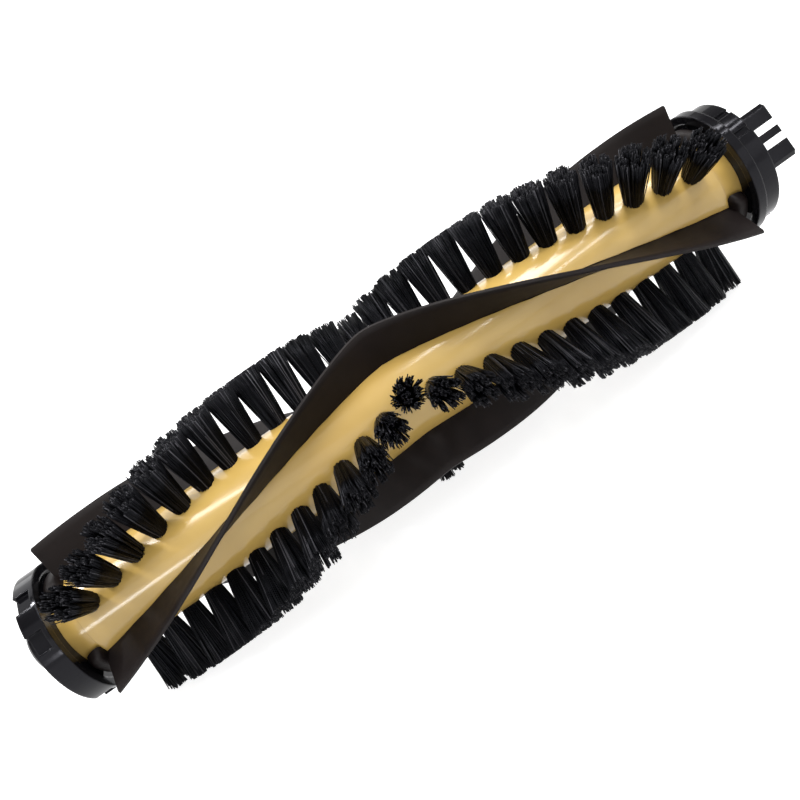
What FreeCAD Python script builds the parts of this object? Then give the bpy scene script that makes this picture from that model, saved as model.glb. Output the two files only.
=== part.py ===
import FreeCAD, Part
import math
import os
import Sketcher

# Roller brush of a floor-cleaning robot. The turning axis is +X, the idle end
# lies at -X, the drive end at +X, and +Z is up with the roller resting on its tufts.
# Lengths along the axis are measured from the point of the chevrons.
SIZES = {
    # Moulded core
    "core_half": 75.2,
    "core_radius": 9.4,
    "neck_length": 3.8,
    "neck_step": 0.5,
    "bore_radius": 3.2,
    "key_side": 7.0,
    "key_depth": 3.5,
    "key_gap": 0.2,
    # Chevron shared by grooves, blades and tuft rows
    "chevron_pitch": 240.4,
    "chevron_turn": 9.35,
    "chevron_bend": 2.5,
    "strand_count": 3,
    "cut_over": 1.0,
    # Rubber blades
    "blade_setback": 3.2,
    "blade_height": 8.3,
    "blade_edge": 1.0,
    "blade_stem": 1.5,
    "blade_steps": 11,
    "groove_lip": 1.2,
    "groove_depth": 3.5,
    "foot_width": 3.4,
    "groove_fit": 0.06,
    "heel_width": 7.2,
    "heel_height": 2.55,
    "heel_round": 1.2,
    "heel_gap": 0.2,
    # Bristle tufts and the wire anchors that hold them
    "tuft_count": 25,
    "tuft_setback": 7.5,
    "tuft_length": 12.1,
    "tuft_sides": 6,
    "tuft_hole": 3.7,
    "tuft_hole_depth": 4.4,
    "tuft_fit": 0.05,
    "tuft_spread": 7.0,
    "anchor_length": 3.2,
    "anchor_thick": 0.5,
    "anchor_tall": 1.4,
    # End caps
    "cap_overhang": 4.4,
    "cap_wall": 1.8,
    "cup_depth": 0.6,
    "spigot_length": 14.0,
    "spigot_fit": 0.03,
    "idle_web": 3.6,
    "notch_width": 3.85,
    "notch_deep": 1.1,
    "notch_long": 3.3,
    "notch_turn": 58.2,
    "notch_pitch": 35.6,
    "flange_web": 1.3,
    "disc_step": 0.95,
    "disc_thick": 3.7,
    "flute_width": 1.2,
    "flute_deep": 0.5,
    "flute_turn": 51.2,
    "flute_pitch": 23.8,
    "peg_side": 11.9,
    "peg_length": 8.7,
    "peg_edge": 0.8,
    "peg_web": 1.6,
    "peg_slot": 1.5,
    "slot_floor": 1.2,
    "peg_turn": -25.9,
    # Idle bush turning on its headed pin
    "pin_radius": 2.0,
    "pin_depth": 15.0,
    "pin_fit": 0.02,
    "pin_head": 3.0,
    "pin_head_thick": 1.1,
    "bush_radius": 5.6,
    "bush_length": 4.5,
    "bush_edge": 0.6,
    "bush_play": 0.05,
    "bush_gap": 0.3,
    "bush_recess": 1.7,
}
DERIVED = {
    "neck_start": "core_half - neck_length",
    "neck_radius": "core_radius - neck_step",
    "blade_half": "core_half - blade_setback",
    "blade_tip": "core_radius + blade_height",
    "foot_top": "core_radius - groove_lip",
    "foot_floor": "core_radius - groove_depth",
    "heel_floor": "neck_radius + groove_fit",
    "heel_top": "neck_radius + heel_height",
    "heel_end": "core_half - heel_gap",
    "cut_top": "core_radius + cut_over",
    "cut_end": "core_half + cut_over",
    "tuft_pitch": "2 * (core_half - tuft_setback) / (tuft_count - 1)",
    "tuft_tip": "core_radius + tuft_length",
    "tuft_floor": "core_radius - tuft_hole_depth",
    "cap_radius": "core_radius + cap_overhang",
    "cup_radius": "cap_radius - cap_wall",
    "cup_lip": "core_half - cup_depth",
    "spigot_radius": "bore_radius - spigot_fit",
    "spigot_end": "core_half - spigot_length",
    "key_half": "key_side / 2 - spigot_fit",
    "idle_face": "core_half + idle_web",
    "flange_face": "core_half + flange_web",
    "disc_face": "flange_face + disc_thick",
    "disc_radius": "cap_radius - disc_step",
    "drive_reach": "disc_face + peg_length",
    "pin_seat": "pin_radius + pin_fit",
    "pin_inner": "idle_face - pin_depth",
    "bush_bore": "pin_radius + bush_play",
    "bush_back": "idle_face + bush_gap",
    "idle_reach": "bush_back + bush_length",
    "bush_floor": "idle_reach - bush_recess",
    "head_room": "pin_head + bush_gap",
    "head_back": "bush_floor + bush_gap",
    "head_face": "head_back + pin_head_thick",
    "middle": "(idle_reach - drive_reach) / 2",
}

doc = FreeCAD.newDocument("roller_brush")
dims = doc.addObject("Spreadsheet::Sheet", "dims")
cells = {name: str(size) for name, size in SIZES.items()}
cells.update({name: "=" + formula for name, formula in DERIVED.items()})
for row, (name, text) in enumerate(cells.items(), 1):
    dims.set(f"A{row}", name)
    dims.set(f"B{row}", text)
    dims.setAlias(f"B{row}", name)
doc.recompute()

X_AXIS = FreeCAD.Vector(1, 0, 0)
ORIGIN = FreeCAD.Vector(0, 0, 0)


def seat(part, turn="0"):
    """Put a sub-part on the roller's axis, turned about it."""
    part.Placement = FreeCAD.Placement(ORIGIN, FreeCAD.Rotation(X_AXIS, 1))
    part.setExpression("Placement.Base.x", "dims.middle")
    part.setExpression("Placement.Rotation.Angle", turn)


def outline(body, name, role, loops, lift="0", turn="0"):
    """Sketch closed loops of straight lines, each corner held by two bound distances."""
    sketch = body.newObject("Sketcher::SketchObject", name)
    plane = [f for f in body.Origin.OriginFeatures if f.Role == role][0]
    sketch.AttachmentSupport = (plane, [""])
    sketch.MapMode = "FlatFace"
    sketch.AttachmentOffset = FreeCAD.Placement(
        FreeCAD.Vector(0, 0, 0), FreeCAD.Rotation(FreeCAD.Vector(0, 0, 1), 1)
    )
    sketch.setExpression("AttachmentOffset.Base.z", lift)
    sketch.setExpression("AttachmentOffset.Rotation.Angle", turn)
    for corners in loops:
        first = sketch.GeometryCount
        count = len(corners)
        spots = [
            FreeCAD.Vector(*(float(sketch.evalExpression(text)) for text in corner), 0)
            for corner in corners
        ]
        for i in range(count):
            sketch.addGeometry(Part.LineSegment(spots[i], spots[(i + 1) % count]))
        for i in range(count):
            after = first + (i + 1) % count
            sketch.addConstraint(Sketcher.Constraint("Coincident", first + i, 2, after, 1))
        for i, corner in enumerate(corners):
            for kind, text, at, axis in (
                ("DistanceX", corner[0], spots[i].x, -2),
                ("DistanceY", corner[1], spots[i].y, -1),
            ):
                if abs(at) < 1e-9:
                    sketch.addConstraint(
                        Sketcher.Constraint("PointOnObject", first + i, 1, axis)
                    )
                else:
                    held = sketch.addConstraint(
                        Sketcher.Constraint(kind, -1, 1, first + i, 1, at)
                    )
                    sketch.setExpression(f"Constraints[{held}]", text)
    return sketch


def box_loop(left, low, right, high):
    return [(left, low), (right, low), (right, high), (left, high)]


def lathe(body, name, corners, kind="PartDesign::Revolution"):
    """Turn a profile of (along the axis, radius) corners about the axis."""
    turned = body.newObject(kind, name)
    turned.Profile = outline(body, name + "_profile", "XZ_Plane", [corners])
    turned.ReferenceAxis = (turned.Profile[0], ["H_Axis"])
    turned.Angle = 360
    return turned


def pocket(body, name, loops, at, deep, turn="0"):
    """Cut loops both ways from the plane at a place on the axis."""
    cut = body.newObject("PartDesign::Pocket", name)
    cut.Profile = outline(body, name + "_outline", "YZ_Plane", loops, at, turn)
    cut.Midplane = True
    cut.setExpression("Length", f"2 * ({deep})")
    return cut


def ring_of(body, name, cut, count):
    """Repeat a cut round the axis."""
    ring = body.newObject("PartDesign::PolarPattern", name)
    ring.Originals = [cut]
    ring.Axis = (cut.Profile[0], ["N_Axis"])
    ring.Angle = 360
    ring.setExpression("Occurrences", count)
    body.Tip = ring
    return ring


def square(half):
    return box_loop(f"-({half})", f"-({half})", half, half)


def key_block(body, name, at, inward):
    """Square block under a cap that drives the core's socket."""
    block = body.newObject("PartDesign::Pad", name)
    side = square("dims.key_half")
    block.Profile = outline(body, name + "_outline", "YZ_Plane", [side], at)
    block.Reversed = inward
    block.setExpression("Length", "dims.key_depth - dims.key_gap")
    return block


# Core blank: a bored bar with a shouldered neck and a square key socket at each end.
core_blank = doc.addObject("PartDesign::Body", "core_blank")
lathe(
    core_blank,
    "core_bar",
    [
        ("-dims.core_half", "dims.bore_radius"),
        ("dims.core_half", "dims.bore_radius"),
        ("dims.core_half", "dims.neck_radius"),
        ("dims.neck_start", "dims.neck_radius"),
        ("dims.neck_start", "dims.core_radius"),
        ("-dims.neck_start", "dims.core_radius"),
        ("-dims.neck_start", "dims.neck_radius"),
        ("-dims.core_half", "dims.neck_radius"),
    ],
)
socket = square("dims.key_side / 2")
pocket(core_blank, "idle_socket", [socket], "-dims.core_half", "dims.key_depth", "dims.notch_turn")
pocket(core_blank, "drive_socket", [socket], "dims.core_half", "dims.key_depth", "dims.peg_turn")


def chevron_angle(x):
    """Turn of the chevron at a place on the axis, with its point softly rounded."""
    return 360 / dims.chevron_pitch * math.hypot(x, dims.chevron_bend)


def ringed_solid(rings, flat_sides):
    """Closed solid through rings of corners, with whole or split faces between them."""
    faces = [Part.Face(Part.makePolygon(ring + ring[:1])) for ring in (rings[0], rings[-1])]
    for low, high in zip(rings, rings[1:]):
        for i in range(len(low)):
            j = (i + 1) % len(low)
            patches = [[low[i], low[j], high[j], high[i]]]
            if not flat_sides:
                patches = [[low[i], low[j], high[j]], [low[i], high[j], high[i]]]
            for patch in patches:
                faces.append(Part.Face(Part.makePolygon(patch + patch[:1])))
    shell = Part.makeShell(faces)
    shell.sewShape()
    solid = Part.makeSolid(shell)
    if solid.Volume < 0:
        solid.reverse()
    return solid


def chevron_strip(corners, stations):
    """Strip that keeps its (across, radius) section while it follows the chevron."""
    rings = []
    for x in stations:
        turn = FreeCAD.Rotation(X_AXIS, chevron_angle(x))
        rings.append([turn.multVec(FreeCAD.Vector(x, across, radius)) for across, radius in corners])
    return ringed_solid(rings, False)


def both_sides(side):
    """Whole section from one half of it, given as (across, radius) corners."""
    return side + [(-across, radius) for across, radius in reversed(side)]


def rooted_section(grow):
    """Half section of what fills a groove: stem and dovetail foot."""
    return [
        (dims.blade_stem / 2 + grow, dims.cut_top),
        (dims.blade_stem / 2 + grow, dims.foot_top + grow),
        (dims.foot_width / 2 + grow, dims.foot_floor - grow),
    ]


steps = int(dims.blade_steps)
blade_stations = [
    math.copysign(dims.blade_half * abs(i / steps) ** 1.3, i) for i in range(-steps, steps + 1)
]
strand_turns = [360 / dims.strand_count * i for i in range(int(dims.strand_count))]
row_step = 180 / dims.strand_count
tuft_places = [
    (i - (dims.tuft_count - 1) / 2) * dims.tuft_pitch for i in range(int(dims.tuft_count))
]


def turned_copy(shape, turn, x=0):
    """Copy of a shape moved along the axis and turned about it."""
    copy = shape.copy()
    copy.Placement = FreeCAD.Placement(FreeCAD.Vector(x, 0, 0), FreeCAD.Rotation(X_AXIS, turn))
    return copy


def tuft_row(shape, row):
    """Copies of one tuft feature along one chevron row."""
    copies = []
    for x in tuft_places:
        turn = strand_turns[row] - row_step + 360 / dims.chevron_pitch * abs(x)
        copies.append(turned_copy(shape, turn, x))
    return copies


def flared(levels):
    """Upright many-sided solid through (reach of the corners, height) levels."""
    sides = int(dims.tuft_sides)
    rings = []
    for reach, height in levels:
        spokes = [FreeCAD.Rotation(FreeCAD.Vector(0, 0, 1), 360 / sides * i) for i in range(sides)]
        rings.append([spoke.multVec(FreeCAD.Vector(reach, 0, height)) for spoke in spokes])
    return ringed_solid(rings, True)


# Core: three chevron grooves with a dovetail floor, and a blind socket for every tuft.
groove = chevron_strip(
    both_sides(rooted_section(dims.groove_fit)),
    [-dims.cut_end] + blade_stations + [dims.cut_end],
)
hole = flared([(dims.tuft_hole / 2, dims.tuft_floor), (dims.tuft_hole / 2, dims.cut_top)])
core_cuts = doc.addObject("Part::Feature", "core_cuts")
cutters = [turned_copy(groove, turn) for turn in strand_turns]
for row in range(len(strand_turns)):
    cutters += tuft_row(hole, row)
core_cuts.Shape = Part.makeCompound(cutters)
core_cuts.Placement = FreeCAD.Placement(ORIGIN, FreeCAD.Rotation(X_AXIS, dims.chevron_turn))
roller_core = doc.addObject("Part::Cut", "roller_core")
roller_core.Base = core_blank
roller_core.Tool = core_cuts
seat(roller_core)
pieces = [roller_core]


# Rubber blades: one V-shaped strip each, its foot sprung into a groove of the core, with a
# rounded heel over the core's neck at either end.
heel_side = [
    (dims.heel_width / 2 - dims.heel_round, dims.heel_top),
    (dims.heel_width / 2, dims.heel_top - dims.heel_round),
    (dims.heel_width / 2, dims.heel_floor),
    (dims.blade_stem / 2, dims.heel_floor),
    (dims.blade_stem / 2, dims.foot_top),
    (dims.foot_width / 2, dims.foot_floor),
]
heels = [
    chevron_strip(both_sides(heel_side), stations)
    for stations in ([-dims.heel_end, -dims.blade_half], [dims.blade_half, dims.heel_end])
]
fin_tip = [(dims.blade_edge / 2, dims.blade_tip)]
fin = chevron_strip(both_sides(fin_tip + rooted_section(0)), blade_stations)
blade = fin.fuse(heels).removeSplitter()
for strand in range(len(strand_turns)):
    wiper = doc.addObject("Part::Feature", f"rubber_blade_{strand + 1}")
    wiper.Shape = blade
    seat(wiper, f"dims.chevron_turn + {strand} * 360 / dims.strand_count")
    pieces.append(wiper)


# Bristle tufts: folded over a flat wire anchor down in the socket, filling its mouth and
# spreading to the cut tip.
anchor_low = dims.tuft_floor + dims.tuft_fit
tuft_low = anchor_low + dims.anchor_tall
tuft_root = dims.tuft_hole / 2 - dims.tuft_fit
tuft_flare = (dims.tuft_spread / 2 - tuft_root) / dims.tuft_length
tuft_fold = tuft_root - tuft_flare * (dims.core_radius - tuft_low)
tuft = flared([(tuft_fold, tuft_low), (dims.tuft_spread / 2, dims.tuft_tip)])
anchor = Part.makeBox(
    dims.anchor_length,
    dims.anchor_thick,
    dims.anchor_tall,
    FreeCAD.Vector(-dims.anchor_length / 2, -dims.anchor_thick / 2, anchor_low),
)
for label, shape in (("bristle_row", tuft), ("wire_anchors", anchor)):
    for row in range(len(strand_turns)):
        group = doc.addObject("Part::Feature", f"{label}_{row + 1}")
        group.Shape = Part.makeCompound(tuft_row(shape, row))
        seat(group, "dims.chevron_turn")
        pieces.append(group)


# Idle end cap: a cupped flange with castellated rim, keyed and spigoted into the core.
idle_end_cap = doc.addObject("PartDesign::Body", "idle_end_cap")
lathe(
    idle_end_cap,
    "idle_flange",
    [
        ("-dims.idle_face", "0"),
        ("-dims.spigot_end", "0"),
        ("-dims.spigot_end", "dims.spigot_radius"),
        ("-dims.core_half", "dims.spigot_radius"),
        ("-dims.core_half", "dims.cup_radius"),
        ("-dims.cup_lip", "dims.cup_radius"),
        ("-dims.cup_lip", "dims.cap_radius"),
        ("-dims.idle_face", "dims.cap_radius"),
    ],
)
key_block(idle_end_cap, "idle_key", "-dims.core_half", False)
lathe(
    idle_end_cap,
    "pin_hole",
    box_loop("-dims.idle_face", "0", "-dims.spigot_end", "dims.pin_seat"),
    "PartDesign::Groove",
)
notch_loop = box_loop(
    "-dims.notch_width / 2",
    "dims.cap_radius - dims.notch_deep",
    "dims.notch_width / 2",
    "dims.cap_radius + dims.cut_over",
)
for name, turn in (("lower_notch", "0"), ("upper_notch", "-dims.notch_pitch")):
    notch = pocket(idle_end_cap, name, [notch_loop], "-dims.idle_face", "dims.notch_long", turn)
    ring_of(idle_end_cap, name + "_ring", notch, "dims.strand_count")
seat(idle_end_cap, "dims.notch_turn")
pieces.append(idle_end_cap)


# Drive end cap: cupped flange, fluted disc and a square drive peg parted by two slots.
drive_end_cap = doc.addObject("PartDesign::Body", "drive_end_cap")
lathe(
    drive_end_cap,
    "drive_flange",
    [
        ("dims.spigot_end", "0"),
        ("dims.spigot_end", "dims.spigot_radius"),
        ("dims.core_half", "dims.spigot_radius"),
        ("dims.core_half", "dims.cup_radius"),
        ("dims.cup_lip", "dims.cup_radius"),
        ("dims.cup_lip", "dims.cap_radius"),
        ("dims.flange_face", "dims.cap_radius"),
        ("dims.flange_face", "dims.disc_radius"),
        ("dims.disc_face", "dims.disc_radius"),
        ("dims.disc_face", "0"),
    ],
)
key_block(drive_end_cap, "drive_key", "dims.core_half", True)
peg_half = "dims.peg_side / 2"
peg_flat = "(dims.peg_side / 2 - dims.peg_edge)"
peg_loop = [
    (peg_half, f"-{peg_flat}"),
    (peg_half, peg_flat),
    (peg_flat, peg_half),
    (f"-{peg_flat}", peg_half),
    (f"-{peg_half}", peg_flat),
    (f"-{peg_half}", f"-{peg_flat}"),
    (f"-{peg_flat}", f"-{peg_half}"),
    (peg_flat, f"-{peg_half}"),
]
peg = drive_end_cap.newObject("PartDesign::Pad", "peg")
peg.Profile = outline(drive_end_cap, "peg_outline", "YZ_Plane", [peg_loop], "dims.disc_face")
peg.setExpression("Length", "dims.peg_length")
slots = [
    box_loop("-dims.cap_radius", low, "dims.cap_radius", high)
    for low, high in (
        ("dims.peg_web / 2", "dims.peg_web / 2 + dims.peg_slot"),
        ("-dims.peg_web / 2 - dims.peg_slot", "-dims.peg_web / 2"),
    )
]
pocket(drive_end_cap, "peg_slots", slots, "dims.drive_reach", "dims.peg_length - dims.slot_floor")
flute_loop = box_loop(
    "-dims.flute_width / 2",
    "dims.disc_radius - dims.flute_deep",
    "dims.flute_width / 2",
    "dims.disc_radius + dims.flute_deep",
)
for name, turn in (
    ("upper_flute", "dims.flute_turn"),
    ("lower_flute", "dims.flute_turn + dims.flute_pitch"),
):
    flute = pocket(
        drive_end_cap, name, [flute_loop], "dims.disc_face", "dims.disc_thick", turn
    )
    ring_of(drive_end_cap, name + "_ring", flute, "dims.strand_count")
seat(drive_end_cap, "dims.peg_turn")
pieces.append(drive_end_cap)


# Axle pin: a headed steel pin pressed through the idle cap and its spigot.
idle_axle_pin = doc.addObject("PartDesign::Body", "idle_axle_pin")
lathe(
    idle_axle_pin,
    "axle",
    [
        ("-dims.pin_inner", "0"),
        ("-dims.pin_inner", "dims.pin_radius"),
        ("-dims.head_back", "dims.pin_radius"),
        ("-dims.head_back", "dims.pin_head"),
        ("-dims.head_face", "dims.pin_head"),
        ("-dims.head_face", "0"),
    ],
)
seat(idle_axle_pin)
pieces.append(idle_axle_pin)


# Idle bush: turns freely on the pin, trapped between the cap and the pin's head.
idle_bush = doc.addObject("PartDesign::Body", "idle_bush")
lathe(
    idle_bush,
    "bush",
    [
        ("-dims.bush_back", "dims.bush_bore"),
        ("-dims.bush_back", "dims.bush_radius"),
        ("-dims.idle_reach + dims.bush_edge", "dims.bush_radius"),
        ("-dims.idle_reach", "dims.bush_radius - dims.bush_edge"),
        ("-dims.idle_reach", "dims.head_room"),
        ("-dims.bush_floor", "dims.head_room"),
        ("-dims.bush_floor", "dims.bush_bore"),
    ],
)
seat(idle_bush)
pieces.append(idle_bush)

doc.recompute()
os.makedirs("parts", exist_ok=True)
for thing in doc.Objects:
    if "Invalid" in thing.State or "Error" in thing.State:
        raise RuntimeError(f"{thing.Name} did not build: {thing.State}")
for piece in pieces:
    piece.Label = piece.Name
    if piece.Shape.isNull() or not piece.Shape.isValid():
        raise RuntimeError(f"{piece.Label} has no sound shape")
    piece.Shape.exportStep(f"parts/{piece.Label}.step")
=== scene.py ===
import math

import bpy
import numpy as np
from mathutils import Matrix, Vector


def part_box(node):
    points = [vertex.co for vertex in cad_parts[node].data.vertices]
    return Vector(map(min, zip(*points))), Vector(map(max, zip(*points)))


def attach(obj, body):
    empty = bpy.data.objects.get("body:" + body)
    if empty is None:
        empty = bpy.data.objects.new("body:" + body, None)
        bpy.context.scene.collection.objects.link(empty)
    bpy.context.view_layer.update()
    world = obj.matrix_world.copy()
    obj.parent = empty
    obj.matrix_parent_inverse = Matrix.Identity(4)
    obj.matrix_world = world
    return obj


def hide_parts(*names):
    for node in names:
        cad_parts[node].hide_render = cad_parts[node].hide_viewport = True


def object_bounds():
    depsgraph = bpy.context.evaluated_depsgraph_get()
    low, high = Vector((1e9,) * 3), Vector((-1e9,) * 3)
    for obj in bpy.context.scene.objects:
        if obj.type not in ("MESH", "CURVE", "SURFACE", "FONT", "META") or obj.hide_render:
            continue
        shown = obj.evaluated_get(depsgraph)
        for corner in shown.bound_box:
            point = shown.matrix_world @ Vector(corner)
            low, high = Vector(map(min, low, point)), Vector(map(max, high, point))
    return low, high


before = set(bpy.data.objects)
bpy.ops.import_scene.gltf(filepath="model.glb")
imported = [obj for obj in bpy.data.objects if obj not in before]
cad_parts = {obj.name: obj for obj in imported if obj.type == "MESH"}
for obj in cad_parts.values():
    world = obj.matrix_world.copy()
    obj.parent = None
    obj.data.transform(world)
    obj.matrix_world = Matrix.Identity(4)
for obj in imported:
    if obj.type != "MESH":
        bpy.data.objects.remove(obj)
cad_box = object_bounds()

# Roller core: one injection-moulded bar of glossy tan plastic, with chevron grooves for the
# blades and a blind socket under every tuft. It carries everything else on the roller.
mm = 0.001
tan = (0.52, 0.34, 0.09)
tan_dark = (0.49, 0.312, 0.076)
tan_light = (0.555, 0.367, 0.102)
flow_marks = (0.15, 1, 1)
draw_marks = (0.12, 1, 1)
mark_height = 0.004 * mm
core_edge = 0.2 * mm


def new_material(name, colour, roughness):
    """Principled material with its constant values set on the shader itself."""
    material = bpy.data.materials.new(name)
    material.use_nodes = True
    tree = material.node_tree
    shader = tree.nodes["Principled BSDF"]
    shader.inputs["Base Color"].default_value = (*colour, 1)
    shader.inputs["Roughness"].default_value = roughness
    return material, tree, shader


def noise(tree, scale, stretch=(1, 1, 1)):
    """Noise in the object's own metres, stretched along chosen axes."""
    place = tree.nodes.new("ShaderNodeTexCoord")
    squeeze = tree.nodes.new("ShaderNodeMapping")
    squeeze.inputs["Scale"].default_value = stretch
    cloud = tree.nodes.new("ShaderNodeTexNoise")
    cloud.inputs["Scale"].default_value = scale
    cloud.inputs["Detail"].default_value = 3.0
    tree.links.new(place.outputs["Object"], squeeze.inputs["Vector"])
    tree.links.new(squeeze.outputs["Vector"], cloud.inputs["Vector"])
    return cloud


def vary_colour(tree, shader, source, dark, light):
    """Let the base colour drift between two tones."""
    ramp = tree.nodes.new("ShaderNodeValToRGB")
    ramp.color_ramp.elements[0].position = 0.3
    ramp.color_ramp.elements[0].color = (*dark, 1)
    ramp.color_ramp.elements[1].position = 0.7
    ramp.color_ramp.elements[1].color = (*light, 1)
    tree.links.new(source.outputs["Fac"], ramp.inputs["Fac"])
    tree.links.new(ramp.outputs["Color"], shader.inputs["Base Color"])


def vary_roughness(tree, shader, source, low, high):
    """Let the gloss drift between two values."""
    span = tree.nodes.new("ShaderNodeMapRange")
    span.inputs["To Min"].default_value = low
    span.inputs["To Max"].default_value = high
    tree.links.new(source.outputs["Fac"], span.inputs["Value"])
    tree.links.new(span.outputs["Result"], shader.inputs["Roughness"])


def add_bump(tree, shader, source, height, rounding=0):
    """Surface texture of a given height, over edges that may be rounded a little."""
    bump = tree.nodes.new("ShaderNodeBump")
    bump.inputs["Strength"].default_value = 1.0
    bump.inputs["Distance"].default_value = height
    tree.links.new(source.outputs["Fac"], bump.inputs["Height"])
    if rounding:
        bevel = tree.nodes.new("ShaderNodeBevel")
        bevel.inputs["Radius"].default_value = rounding
        tree.links.new(bevel.outputs["Normal"], bump.inputs["Normal"])
    tree.links.new(bump.outputs["Normal"], shader.inputs["Normal"])


def dress(node, material):
    """Give a CAD node its finished material."""
    node_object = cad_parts[node]
    node_object.data.materials.clear()
    node_object.data.materials.append(material)


tan_plastic, tree, shader = new_material("tan_plastic", tan, 0.34)
shader.inputs["Specular IOR Level"].default_value = 0.2
shader.inputs["Coat Weight"].default_value = 0.85
shader.inputs["Coat Roughness"].default_value = 0.15
vary_colour(tree, shader, noise(tree, 60), tan_dark, tan_light)
vary_roughness(tree, shader, noise(tree, 900, stretch=flow_marks), 0.28, 0.4)
add_bump(tree, shader, noise(tree, 1500, stretch=draw_marks), mark_height, core_edge)
dress("roller_core", tan_plastic)


# Tuft anchors: short flat lengths of brass wire, driven into the sockets over the folded
# filaments. They stay out of sight under the tufts.
rows = 3
wire_brass = (0.6, 0.45, 0.2)

brass, tree, shader = new_material("brass", wire_brass, 0.35)
shader.inputs["Metallic"].default_value = 1
vary_roughness(tree, shader, noise(tree, 2000), 0.3, 0.45)
for number in range(rows):
    dress(f"wire_anchors_{number + 1}", brass)


# Rubber blades: three V-shaped strips of dark moulded rubber, about a millimetre and a half
# thick, with a dovetail foot sprung into the core's groove. A rounded heel stands at each end,
# beside the cap.
blade_low, blade_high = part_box("rubber_blade_1")
chevron_middle = (blade_low.x + blade_high.x) / 2
chevron_pitch = 240.4 * mm
chevron_bend = 2.5 * mm
first_turn = 9.35
core_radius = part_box("roller_core")[1].z
blade_tip = 17.7 * mm
blade_edge = 1.0 * mm
blade_stem = 1.5 * mm
blade_levels = 8
foot_half = 1.7 * mm
foot_deep = 3.5 * mm
neck_deep = 1.2 * mm
blade_stations = 161
station_crowding = 1.3
sway_waves = 4
blade_sway = 0.12 * mm
crease = math.radians(50)
heel_end = (blade_high.x - blade_low.x) / 2
heel_start = heel_end - 3.6 * mm
blade_fin = heel_end - 3.0 * mm
heel_floor = core_radius - 0.45 * mm
heel_half = 3.6 * mm
heel_tall = 2.5 * mm
heel_square = 0.6
heel_waist = 0.55
heel_close = 0.97
heel_steps = np.linspace(0, 1, 17)
heel_arc = np.linspace(0, np.pi, 13)
rubber_brown = (0.0062, 0.0038, 0.0035)
rubber_dark = (0.005, 0.003, 0.0028)
rubber_light = (0.008, 0.005, 0.0046)
rubber_grain = 0.006 * mm


def chevron_turn(x, bend):
    """Turn about the axis that a chevron has gained at x, its point rounded by the bend."""
    return 2 * np.pi / chevron_pitch * np.hypot(x, bend)


def on_chevron(x, across, radius, turn):
    """Points at a radius and a sideways step from a line turned about the axis."""
    y = across * np.cos(turn) - radius * np.sin(turn)
    z = across * np.sin(turn) + radius * np.cos(turn)
    return np.stack(np.broadcast_arrays(x + chevron_middle, y, z), axis=-1)


def mesh_piece(name, points, faces, material):
    """Smooth-shaded mesh that turns with the roller."""
    mesh = bpy.data.meshes.new(name)
    mesh.from_pydata(np.asarray(points).reshape(-1, 3).tolist(), [], faces)
    mesh.validate()
    mesh.shade_smooth()
    mesh.materials.append(material)
    piece = bpy.data.objects.new(name, mesh)
    bpy.context.scene.collection.objects.link(piece)
    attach(piece, "roller")
    return piece


def blade_outline():
    """Half section from the foot to the rounded tip, as across and radius, then its mirror."""
    foot_top = core_radius - neck_deep
    side = [(foot_half, core_radius - foot_deep), (blade_stem / 2, foot_top)]
    for level in range(1, blade_levels + 1):
        share = level / blade_levels
        across = blade_stem / 2 + (blade_edge - blade_stem) / 2 * share
        side.append((across, foot_top + (blade_tip - blade_edge / 3 - foot_top) * share))
    side.append((blade_edge / 4, blade_tip))
    return side + [(-across, radius) for across, radius in reversed(side)]


def strip_faces(sections, corners):
    """Quads between neighbouring sections of a strip, closed at both ends."""
    faces = []
    for i in range(sections - 1):
        for j in range(corners):
            after = (j + 1) % corners
            near, far = i * corners, (i + 1) * corners
            faces.append((near + j, near + after, far + after, far + j))
    last = (sections - 1) * corners
    faces.append(tuple(range(corners))[::-1])
    faces.append(tuple(range(last, last + corners)))
    return faces


black_rubber, tree, shader = new_material("black_rubber", rubber_brown, 0.42)
shader.inputs["Specular IOR Level"].default_value = 0.18
vary_colour(tree, shader, noise(tree, 120), rubber_dark, rubber_light)
vary_roughness(tree, shader, noise(tree, 500), 0.48, 0.62)
add_bump(tree, shader, noise(tree, 2500), rubber_grain)

outline = np.array(blade_outline())
reach = np.clip((outline[:, 1] - core_radius) / (blade_tip - core_radius), 0, 1) ** 2
spacing = np.linspace(-1, 1, blade_stations)
stations = blade_fin * np.sign(spacing) * np.abs(spacing) ** station_crowding
lengths = heel_start + (heel_end - heel_start) * heel_steps
bulge = np.sqrt(1 - heel_close * np.abs(2 * heel_steps - 1) ** 3)
heel_across = heel_half * np.sign(np.cos(heel_arc)) * np.abs(np.cos(heel_arc)) ** heel_square
heel_rise = heel_tall * np.abs(np.sin(heel_arc)) ** heel_square
for number in range(rows):
    start = math.radians(first_turn + 360 / rows * number)
    turns = chevron_turn(stations, chevron_bend) + start
    swell = np.random.default_rng(number).normal(size=sway_waves)
    sway = sum(
        swell[k] * np.sin(stations / blade_fin * np.pi * (k + 1.5)) for k in range(sway_waves)
    )
    across = outline[None, :, 0] + blade_sway * sway[:, None] * reach[None, :]
    points = on_chevron(stations[:, None], across, outline[None, :, 1], turns[:, None])
    faces = strip_faces(len(stations), len(outline))
    wiper = mesh_piece(f"blade_{number + 1}", points, faces, black_rubber)
    wiper.data.set_sharp_from_angle(angle=crease)
    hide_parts(f"rubber_blade_{number + 1}")
    for end, side in ((-1, "idle"), (1, "drive")):
        points = on_chevron(
            end * lengths[:, None],
            heel_across[None, :] * (heel_waist + (1 - heel_waist) * bulge[:, None]),
            heel_floor + heel_rise[None, :] * bulge[:, None],
            (chevron_turn(lengths, chevron_bend) + start)[:, None],
        )
        faces = strip_faces(len(lengths), len(heel_arc))
        heel = mesh_piece(f"heel_{number + 1}_{side}", points, faces, black_rubber)
        heel.data.set_sharp_from_angle(angle=crease)


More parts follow.
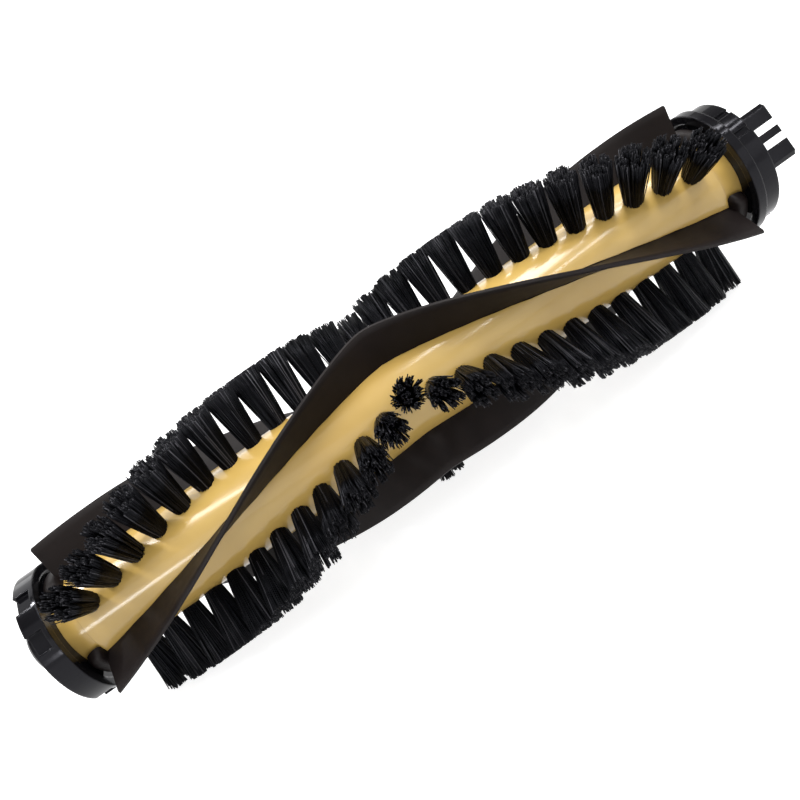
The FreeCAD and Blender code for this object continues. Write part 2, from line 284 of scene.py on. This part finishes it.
# Bristle rows: tufts of black nylon filament, folded over an anchor in each socket and cut to
# length. Each tuft stands close at its root and opens out until its tip meets the next.
tufts_per_row = 25
tuft_half = blade_fin - 4.3 * mm
tuft_root = 1.75 * mm
tuft_spread = 3.35 * mm
tuft_tip = 21.5 * mm
tuft_foot = core_radius - 1.0 * mm
tuft_clumps = 16
pull_least, pull_more = 0.15, 0.3
tip_jitter = 0.15 * mm
tip_uneven = 0.4 * mm
filament_bow = 0.1 * mm
bend_lean = 1.5 * mm
bend_reach = 11 * mm
filaments_per_tuft = 390
filament_radius = 0.115 * mm
filament_sides = 3
filament_rings = np.linspace(0, 1, 4)
row_seed = 40
tint_power = 6
nylon_black = (0.005, 0.005, 0.0058)
nylon_dark = (0.0012, 0.0012, 0.0017)
# Pale grey for the few random strands painted as glints on the black nylon.
nylon_painted_glint = (0.055, 0.054, 0.06)

nylon, tree, shader = new_material("black_nylon", nylon_black, 0.4)
shader.inputs["Specular IOR Level"].default_value = 0.14
shader.inputs["Specular Tint"].default_value = (0.86, 0.88, 1.0, 1)
# Base colour follows each strand's random tone; its pale grey end is a painted glint, standing in
# for light caught on single filaments.
strand_tone_and_glint = tree.nodes.new("ShaderNodeAttribute")
strand_tone_and_glint.attribute_name = "strand_tone_and_glint"
vary_colour(tree, shader, strand_tone_and_glint, nylon_dark, nylon_painted_glint)
vary_roughness(tree, shader, noise(tree, 700), 0.32, 0.48)


def tuft_filaments(dice, lean):
    """Centre lines of one tuft's filaments as along, across and height, ring by ring."""
    count = filaments_per_tuft
    spread = np.sqrt(dice.random(count))
    angle = dice.random(count) * 2 * np.pi
    disc = np.stack([spread * np.cos(angle), spread * np.sin(angle)], axis=1)
    root = disc * tuft_root
    tip = disc * tuft_spread + dice.normal(scale=tip_jitter, size=(count, 2))
    clumps = tip[dice.choice(count, tuft_clumps)]
    gap = np.linalg.norm(tip[:, None] - clumps[None], axis=2)
    nearest = clumps[gap.argmin(axis=1)]
    tip += (nearest - tip) * (pull_least + pull_more * dice.random(count))[:, None]
    tip[:, 1] += lean
    bow = dice.normal(scale=filament_bow, size=(count, 2))
    share = filament_rings[None, :, None]
    flat = root[:, None] + (tip - root)[:, None] * share + bow[:, None] * np.sin(np.pi * share)
    cut = np.sqrt(tuft_tip**2 - tip[:, 1] ** 2) - tip_uneven * dice.random(count) ** 2
    length = cut - tuft_foot
    rise = tuft_foot + length[:, None] * filament_rings[None, :]
    return flat[..., 0], flat[..., 1], rise


def bristle_row(name, start, seed):
    """One chevron row of tufts as a single mesh of three-sided filaments."""
    dice = np.random.default_rng(seed)
    places = np.linspace(-tuft_half, tuft_half, tufts_per_row)
    ring_count = len(filament_rings)
    corners = []
    for x in places:
        along, across, rise = tuft_filaments(dice, bend_lean * math.exp(-abs(x) / bend_reach))
        turn = start + chevron_turn(x, 0)
        for corner in range(filament_sides):
            spin = 2 * np.pi * corner / filament_sides
            step_along = filament_radius * np.cos(spin)
            step_across = filament_radius * np.sin(spin)
            corners.append(on_chevron(x + along + step_along, across + step_across, rise, turn))
    points = np.array(corners)
    points = points.reshape(len(places), filament_sides, filaments_per_tuft, ring_count, 3)
    points = points.transpose(0, 2, 3, 1, 4).reshape(-1, 3)
    strand_count = len(places) * filaments_per_tuft
    per_strand = filament_sides * ring_count
    first = np.arange(strand_count) * per_strand
    ring, corner = np.meshgrid(np.arange(ring_count - 1), np.arange(filament_sides), indexing="ij")
    near = ring * filament_sides
    far = near + filament_sides
    after = (corner + 1) % filament_sides
    quad = np.stack([near + corner, near + after, far + after, far + corner], -1)
    quads = (first[:, None, None] + quad.reshape(1, -1, 4)).reshape(-1, 4)
    tips = first[:, None] + per_strand - filament_sides + np.arange(filament_sides)
    row = mesh_piece(name, points, quads.tolist() + tips.tolist(), nylon)
    # Random tone for each strand; the power leaves only a few strands pale, as painted glints.
    tint = row.data.attributes.new("strand_tone_and_glint", "FLOAT", "POINT")
    tint.data.foreach_set("value", np.repeat(dice.random(strand_count) ** tint_power, per_strand))
    return row


for number in range(rows):
    start = math.radians(first_turn - 180 / rows + 360 / rows * number)
    row = bristle_row(f"bristles_{number + 1}", start, row_seed + number)
    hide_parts(f"bristle_row_{number + 1}")


# End caps: glossy black mouldings pushed into the core's ends on a square key. The idle cap
# has a castellated rim, the drive cap a fluted disc and a slotted peg.
cap_black = (0.0045, 0.0043, 0.0052)
cap_dark = (0.0038, 0.0036, 0.0044)
cap_light = (0.0055, 0.0053, 0.0064)
cap_grain = 0.003 * mm
cap_edge = 0.45 * mm

black_plastic, tree, shader = new_material("black_plastic", cap_black, 0.09)
shader.inputs["Specular IOR Level"].default_value = 0.14
shader.inputs["Specular Tint"].default_value = (0.9, 0.9, 1.0, 1)
vary_colour(tree, shader, noise(tree, 150), cap_dark, cap_light)
vary_roughness(tree, shader, noise(tree, 900), 0.06, 0.12)
add_bump(tree, shader, noise(tree, 1200), cap_grain, cap_edge)
dress("idle_end_cap", black_plastic)
dress("drive_end_cap", black_plastic)


# Idle bush and its pin: a black moulded bearing sleeve that turns on a headed steel pin. The
# pin is turned on a lathe, which leaves fine rings, and is pressed into the idle cap.
pin_grey = (0.24, 0.24, 0.25)
pin_dark = (0.225, 0.225, 0.235)
pin_light = (0.255, 0.255, 0.265)
ring_scale = 900
ring_height = 0.004 * mm
pin_edge = 0.2 * mm

dress("idle_bush", black_plastic)
pin_steel, tree, shader = new_material("pin_steel", pin_grey, 0.36)
shader.inputs["Metallic"].default_value = 1
vary_colour(tree, shader, noise(tree, 900), pin_dark, pin_light)
turning = tree.nodes.new("ShaderNodeTexWave")
turning.wave_type = "RINGS"
turning.rings_direction = "X"
turning.inputs["Scale"].default_value = ring_scale
place = tree.nodes.new("ShaderNodeTexCoord")
tree.links.new(place.outputs["Object"], turning.inputs["Vector"])
vary_roughness(tree, shader, turning, 0.3, 0.46)
add_bump(tree, shader, turning, ring_height, pin_edge)
dress("idle_axle_pin", pin_steel)


# Stage: a round floor of white paper, turned up all round into a low wall. It looks white to
# the camera and in reflections, and a little less so near the roller, where the shadow falls.
floor_height = cad_box[0][2]
floor_reach = 0.9
floor_shares = (0.15, 0.4, 1)
wall_bend = 0.35
wall_rise = 0.35
wall_sides = 96
bend_steps = 12
paper_grey = (0.5, 0.5, 0.5)
glow_from, glow_to = 0.1, 0.4
glow_near, glow_far = 0.84, 1.0
room_strength = 0.32

paper_line = [(floor_reach * share, floor_height) for share in floor_shares]
for step in range(1, bend_steps + 1):
    lean = math.radians(90 * step / bend_steps)
    rise = floor_height + wall_bend * (1 - math.cos(lean))
    paper_line.append((floor_reach + wall_bend * math.sin(lean), rise))
paper_line.append((floor_reach + wall_bend, floor_height + wall_bend + wall_rise))
paper_points = [(0, 0, floor_height)]
for reach, rise in paper_line:
    for side in range(wall_sides):
        bearing = 2 * math.pi * side / wall_sides
        paper_points.append((reach * math.cos(bearing), reach * math.sin(bearing), rise))
paper_faces = []
for side in range(wall_sides):
    after = (side + 1) % wall_sides
    paper_faces.append((0, 1 + side, 1 + after))
    for ring in range(len(paper_line) - 1):
        near, far = 1 + ring * wall_sides, 1 + (ring + 1) * wall_sides
        paper_faces.append((near + side, far + side, far + after, near + after))
sweep_mesh = bpy.data.meshes.new("paper_sweep")
sweep_mesh.from_pydata(paper_points, [], paper_faces)
sweep_mesh.shade_smooth()
sweep = bpy.data.objects.new("paper_sweep", sweep_mesh)
bpy.context.scene.collection.objects.link(sweep)

paper, tree, shader = new_material("paper", paper_grey, 0.9)
shader.inputs["Specular IOR Level"].default_value = 0
shader.inputs["Emission Color"].default_value = (1, 1, 1, 1)
rays = tree.nodes.new("ShaderNodeLightPath")
seen = tree.nodes.new("ShaderNodeMath")
seen.operation = "MAXIMUM"
seen_too = tree.nodes.new("ShaderNodeMath")
seen_too.operation = "MAXIMUM"
place = tree.nodes.new("ShaderNodeTexCoord")
away = tree.nodes.new("ShaderNodeVectorMath")
away.operation = "LENGTH"
fade = tree.nodes.new("ShaderNodeMapRange")
fade.inputs["From Min"].default_value = glow_from
fade.inputs["From Max"].default_value = glow_to
fade.inputs["To Min"].default_value = glow_near
fade.inputs["To Max"].default_value = glow_far
glow = tree.nodes.new("ShaderNodeMath")
glow.operation = "MULTIPLY"
tree.links.new(rays.outputs["Is Camera Ray"], seen.inputs[0])
tree.links.new(rays.outputs["Is Glossy Ray"], seen.inputs[1])
tree.links.new(seen.outputs[0], seen_too.inputs[0])
tree.links.new(rays.outputs["Is Transmission Ray"], seen_too.inputs[1])
tree.links.new(place.outputs["Object"], away.inputs[0])
tree.links.new(away.outputs["Value"], fade.inputs["Value"])
tree.links.new(fade.outputs["Result"], glow.inputs[0])
tree.links.new(seen_too.outputs[0], glow.inputs[1])
tree.links.new(glow.outputs[0], shader.inputs["Emission Strength"])
sweep_mesh.materials.append(paper)

room = bpy.data.worlds.new("room")
bpy.context.scene.world = room
room.use_nodes = True
room_light = room.node_tree.nodes["Background"]
room_light.inputs["Color"].default_value = (1, 1, 1, 1)
room_light.inputs["Strength"].default_value = room_strength


# Camera: close in front of the roller and a little above it, swung slightly to one side and
# rolled, so that the roller runs up to the right.
view_height = math.radians(25.9)
swing = math.radians(2.30)
roll = math.radians(35.39)
camera_away = 154.99 * mm
camera_aside = 6.93 * mm
camera_down = 0.48 * mm
towards_camera = Vector((0, -math.cos(view_height), math.sin(view_height)))
up_picture = Vector((0, math.sin(view_height), math.cos(view_height)))
along_roller = Vector((1, 0, 0))
level_right = along_roller * math.cos(swing) + towards_camera * math.sin(swing)
back = towards_camera * math.cos(swing) - along_roller * math.sin(swing)
right = level_right * math.cos(roll) - up_picture * math.sin(roll)
up = level_right * math.sin(roll) + up_picture * math.cos(roll)
stand = along_roller * (chevron_middle - camera_aside)
stand = stand - up_picture * camera_down + towards_camera * camera_away
camera_data = bpy.data.cameras.new("camera")
camera_data.lens = 35.8
camera_data.sensor_width = 36
camera_data.clip_start = 0.01
camera = bpy.data.objects.new("camera", camera_data)
bpy.context.scene.collection.objects.link(camera)
camera.matrix_world = Matrix.Translation(stand) @ Matrix((right, up, back)).transposed().to_4x4()
bpy.context.scene.camera = camera


# Lights: large soft boxes in front and behind give the plain light. A smaller box, two tubes
# and a strip overhead draw the bright lines along the core, and a small strip and a lamp stand
# off the idle end. Each faces the roller.
soft_boxes = (
    ("box_front", (0.0, -0.65, 0.47), (1.2, 1.0), 2.7),
    ("box_over", (0.15, -0.06, 0.48), (0.27, 0.13), 1.95),
    ("tube_back", (0.25, 0.12, 0.46), (0.42, 0.016), 0.6),
    ("tube_front", (0.25, -0.225, 0.42), (0.42, 0.016), 0.55),
    ("strip_over", (-0.2, -0.08, 0.49), (0.4, 0.035), 1.0),
    ("box_behind", (-0.05, 0.42, 0.38), (0.9, 0.5), 2.5),
    ("strip_left", (-0.2, -0.38, 0.05), (0.1, 0.04), 0.2),
    ("lamp_high_left", (-0.26, 0.04, 0.41), (0.026, 0.026), 0.48),
)
for name, spot, size, power in soft_boxes:
    lamp = bpy.data.lights.new(name, "AREA")
    lamp.shape = "RECTANGLE"
    lamp.size, lamp.size_y = size
    lamp.energy = power
    soft_box = bpy.data.objects.new(name, lamp)
    bpy.context.scene.collection.objects.link(soft_box)
    soft_box.visible_camera = False
    place = Vector(spot)
    facing = place.to_track_quat("Z", "Y").to_matrix().to_4x4()
    soft_box.matrix_world = Matrix.Translation(place) @ facing

bpy.context.scene.view_settings.view_transform = "Standard"
